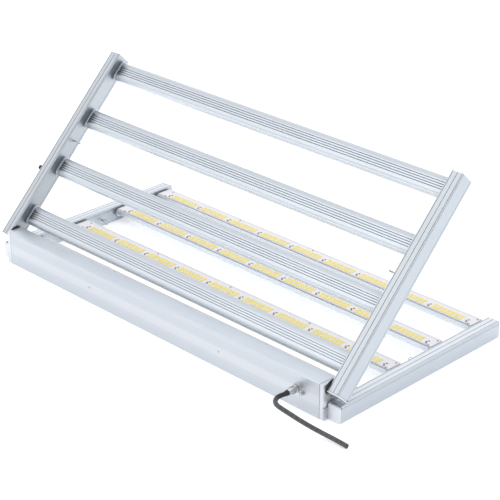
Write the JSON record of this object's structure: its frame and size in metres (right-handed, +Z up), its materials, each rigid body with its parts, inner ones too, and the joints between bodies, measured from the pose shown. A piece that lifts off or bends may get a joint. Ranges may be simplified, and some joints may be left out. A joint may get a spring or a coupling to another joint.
{
  "type": "led grow light",
  "caption": "Folding LED grow light: finned lamp bars between side rails in an upper and a lower wing, hinged on a central driver spine.",
  "frame": {"origin": "on the floor under the middle of the spine, on the spine's flat underside", "axes": "+X along the spine towards the end with the cable gland, +Y from the spine along the lower wing, +Z up"},
  "size_m": [1.18, 0.6184, 0.4387],
  "materials": {
    "anodised_aluminium": "satin silver anodised extrusion",
    "machined_end": "satin cast and machined aluminium",
    "zinc_plated_steel": "zinc plated",
    "nickel_plated_brass": "nickel plated, satin",
    "white_board": "white solder mask",
    "black_nylon": "matte black moulded",
    "cord_jacket": "matte dark jacket",
    "driver_case": "white moulded case"
  },
  "bodies": {
    "spine": {"spine_housing": "anodised_aluminium", "spine_left_end_cap": "machined_end", "spine_right_end_cap": "machined_end", "upper_left_hinge_pin": "zinc_plated_steel", "upper_left_hinge_washer": "black_nylon", "upper_right_hinge_pin": "zinc_plated_steel", "upper_right_hinge_washer": "black_nylon", "lower_left_hinge_pin": "zinc_plated_steel", "lower_left_hinge_spacer": "zinc_plated_steel", "lower_right_hinge_pin": "zinc_plated_steel", "lower_right_hinge_spacer": "zinc_plated_steel", "led_driver": "driver_case", "cable_gland": "nickel_plated_brass", "dimmer_port": "nickel_plated_brass", "mains_cord": "cord_jacket"},
    "upper_wing": {"upper_left_rail": "anodised_aluminium", "upper_left_hinge_cap": "machined_end", "upper_left_hanging_eye": "zinc_plated_steel", "upper_right_rail": "anodised_aluminium", "upper_right_hinge_cap": "machined_end", "upper_right_hanging_eye": "zinc_plated_steel", "upper_bar_1_heatsink": "anodised_aluminium", "upper_bar_1_led_board": "white_board", "upper_bar_1_bracket_a": "machined_end", "upper_bar_1_bracket_b": "machined_end", "upper_bar_2_heatsink": "anodised_aluminium", "upper_bar_2_led_board": "white_board", "upper_bar_2_bracket_a": "machined_end", "upper_bar_2_bracket_b": "machined_end", "upper_bar_3_heatsink": "anodised_aluminium", "upper_bar_3_led_board": "white_board", "upper_bar_3_bracket_a": "machined_end", "upper_bar_3_bracket_b": "machined_end", "upper_bar_4_heatsink": "anodised_aluminium", "upper_bar_4_led_board": "white_board", "upper_bar_4_bracket_a": "machined_end", "upper_bar_4_bracket_b": "machined_end", "upper_left_side_plug": "black_nylon"},
    "lower_wing": {"lower_left_rail": "anodised_aluminium", "lower_left_hinge_cap": "machined_end", "lower_left_hanging_eye": "zinc_plated_steel", "lower_right_rail": "anodised_aluminium", "lower_right_hinge_cap": "machined_end", "lower_right_hanging_eye": "zinc_plated_steel", "lower_bar_1_heatsink": "anodised_aluminium", "lower_bar_1_led_board": "white_board", "lower_bar_1_bracket_a": "machined_end", "lower_bar_1_bracket_b": "machined_end", "lower_bar_2_heatsink": "anodised_aluminium", "lower_bar_2_led_board": "white_board", "lower_bar_2_bracket_a": "machined_end", "lower_bar_2_bracket_b": "machined_end", "lower_bar_3_heatsink": "anodised_aluminium", "lower_bar_3_led_board": "white_board", "lower_bar_3_bracket_a": "machined_end", "lower_bar_3_bracket_b": "machined_end", "lower_bar_4_heatsink": "anodised_aluminium", "lower_bar_4_led_board": "white_board", "lower_bar_4_bracket_a": "machined_end", "lower_bar_4_bracket_b": "machined_end"}
  },
  "joints": [
    {"name": "upper_wing_hinge", "type": "hinge", "parent": "spine", "child": "upper_wing", "pos_m": [0, 0.0135, 0.0672], "axis": [1, 0, 0], "range_deg": [-45.4, 44.6]},
    {"name": "lower_wing_hinge", "type": "hinge", "parent": "spine", "child": "lower_wing", "pos_m": [0, 0.0135, 0.0144], "axis": [1, 0, 0], "range_deg": [-90, 0]}
  ]
}
